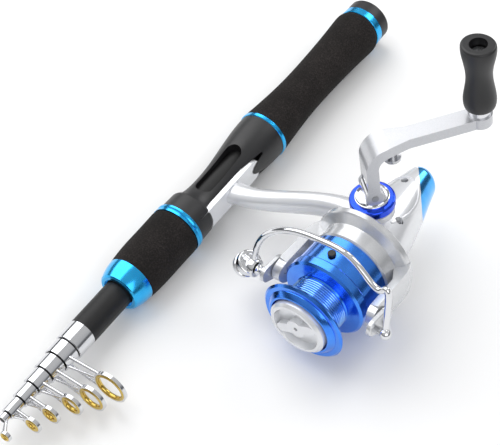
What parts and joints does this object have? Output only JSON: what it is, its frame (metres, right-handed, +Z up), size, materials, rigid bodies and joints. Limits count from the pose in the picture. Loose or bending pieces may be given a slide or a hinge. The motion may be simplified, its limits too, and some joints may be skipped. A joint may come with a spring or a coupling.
{
  "type": "telescopic fishing rod with spinning reel",
  "caption": "Collapsed telescopic fishing rod with foam grips, wire-framed line guides and a folding-handle spinning reel clamped in its seat; sections slide, crank turns the rotor.",
  "frame": {"origin": "on the rod's axis at the rim of the butt cap, where its plain round wall ends", "axes": "+Y out of the butt along the rod, +X from the rod to the reel, +Z up from the table with the handle on top"},
  "size_m": [0.1316, 0.2966, 0.1273],
  "materials": {
    "foam": "closed-cell foam, matte",
    "seat_plastic": "satin black",
    "blue_ring": "blue anodised",
    "blank_black": "lacquered tube",
    "bright_metal": "polished",
    "gold_ring": "gold plated",
    "pearl": "pearl silver paint",
    "rotor_silver": "metallic silver paint",
    "spool_blue": "blue anodised, turned",
    "steel": "machined",
    "gear_brass": "cut teeth",
    "grip_black": "soft-touch black",
    "felt": "oiled washers"
  },
  "bodies": {
    "rod": {"butt_cap": "seat_plastic", "butt_ring": "blue_ring", "rear_grip": "foam", "seat_ring": "blue_ring", "reel_seat": "seat_plastic", "blank": "blank_black", "ferrule": "bright_metal", "reel_body": "pearl", "side_cover": "pearl", "cover_screws": "steel", "tail_cap": "blue_ring", "crank_bearing": "steel", "journal_bearing": "steel", "rotor_bearing": "steel"},
    "hood": {"fore_hood": "seat_plastic"},
    "grip_nut": {"fore_nut": "seat_plastic", "nut_ring": "blue_ring", "fore_grip": "foam", "front_cone": "blue_ring"},
    "section_1": {"section_1": "blank_black", "guide_1": "bright_metal", "guide_insert_1": "gold_ring"},
    "section_2": {"section_2": "blank_black", "guide_2": "bright_metal", "guide_insert_2": "gold_ring"},
    "section_3": {"section_3": "blank_black", "guide_3": "bright_metal", "guide_insert_3": "gold_ring"},
    "section_4": {"section_4": "blank_black", "guide_4": "bright_metal", "guide_insert_4": "gold_ring"},
    "section_5": {"section_5": "blank_black", "guide_5": "bright_metal", "guide_insert_5": "gold_ring"},
    "section_6": {"section_6": "blank_black", "guide_6": "bright_metal", "guide_insert_6": "gold_ring"},
    "crank": {"drive_gear": "gear_brass", "crank_collar": "blue_ring", "handle_hub": "bright_metal"},
    "arm": {"handle_arm": "pearl", "arm_pivot": "steel", "knob_pin": "steel", "knob_collar": "bright_metal"},
    "knob": {"knob": "grip_black"},
    "rotor": {"rotor": "rotor_silver", "pinion": "gear_brass", "rotor_nut": "steel"},
    "bail": {"roller_lever": "rotor_silver", "wire_lever": "rotor_silver", "roller_cap": "bright_metal", "bail_wire": "bright_metal"},
    "roller": {"line_roller": "bright_metal"},
    "shaft": {"main_shaft": "steel"},
    "spool": {"spool": "spool_blue", "line_clip": "seat_plastic", "drag_stack": "felt"},
    "drag_knob": {"drag_knob": "pearl"},
    "stop": {"stop_lever": "seat_plastic"}
  },
  "joints": [
    {"name": "hood_slide", "type": "slide", "parent": "rod", "child": "hood", "axis": [0, -1, 0], "range_m": [0, 0.008]},
    {"name": "nut_turn", "type": "hinge", "parent": "hood", "child": "grip_nut", "pos_m": [0, -0.18, 0], "axis": [0, 1, 0], "range_deg": [0, 1440]},
    {"name": "section_1_slide", "type": "slide", "parent": "rod", "child": "section_1", "axis": [0, -1, 0], "range_m": [0, 0.187]},
    {"name": "section_2_slide", "type": "slide", "parent": "section_1", "child": "section_2", "axis": [0, -1, 0], "range_m": [0, 0.187]},
    {"name": "section_3_slide", "type": "slide", "parent": "section_2", "child": "section_3", "axis": [0, -1, 0], "range_m": [0, 0.187]},
    {"name": "section_4_slide", "type": "slide", "parent": "section_3", "child": "section_4", "axis": [0, -1, 0], "range_m": [0, 0.187]},
    {"name": "section_5_slide", "type": "slide", "parent": "section_4", "child": "section_5", "axis": [0, -1, 0], "range_m": [0, 0.187]},
    {"name": "section_6_slide", "type": "slide", "parent": "section_5", "child": "section_6", "axis": [0, -1, 0], "range_m": [0, 0.187]},
    {"name": "crank_spin", "type": "hinge", "parent": "rod", "child": "crank", "pos_m": [0.08008, -0.12055, 0.01152], "axis": [-0.1423, 0, 0.9898], "continuous": true},
    {"name": "handle_fold", "type": "hinge", "parent": "crank", "child": "arm", "pos_m": [0.07609, -0.12055, 0.03923], "axis": [0.7339, -0.671, 0.1055], "range_deg": [0, 75]},
    {"name": "knob_spin", "type": "hinge", "parent": "arm", "child": "knob", "pos_m": [0.10313, -0.0829, 0.0906], "axis": [-0.1423, 0, 0.9898], "continuous": true},
    {"name": "rotor_spin", "type": "hinge", "parent": "rod", "child": "rotor", "pos_m": [0.08258, -0.14068, 0.01188], "axis": [0.0432, 0.999, 0.0062], "continuous": true},
    {"name": "bail_flip", "type": "hinge", "parent": "rotor", "child": "bail", "pos_m": [0.0817, -0.16106, 0.01175], "axis": [0.9889, -0.0436, 0.1422], "range_deg": [0, 105]},
    {"name": "roller_spin", "type": "hinge", "parent": "bail", "child": "roller", "pos_m": [0.04944, -0.16719, 0.00915], "axis": [0.9889, -0.0436, 0.1422], "continuous": true},
    {"name": "spool_stroke", "type": "slide", "parent": "rod", "child": "shaft", "axis": [-0.0432, -0.999, -0.0062], "range_m": [0, 0.003]},
    {"name": "spool_spin", "type": "hinge", "parent": "shaft", "child": "spool", "pos_m": [0.08128, -0.17065, 0.01169], "axis": [0.0432, 0.999, 0.0062], "continuous": true},
    {"name": "drag_turn", "type": "hinge", "parent": "shaft", "child": "drag_knob", "pos_m": [0.08085, -0.18064, 0.01163], "axis": [0.0432, 0.999, 0.0062], "range_deg": [-360, 360]},
    {"name": "stop_turn", "type": "hinge", "parent": "rod", "child": "stop", "pos_m": [0.0871, -0.11279, 0.00303], "axis": [0.1423, 0, -0.9898], "range_deg": [-25, 25]}
  ],
  "couplings": [
    {"joint": "nut_turn", "follows": "hood_slide", "rad_per_m": 3141.6},
    {"joint": "rotor_spin", "follows": "crank_spin", "ratio": 5.1429}
  ]
}
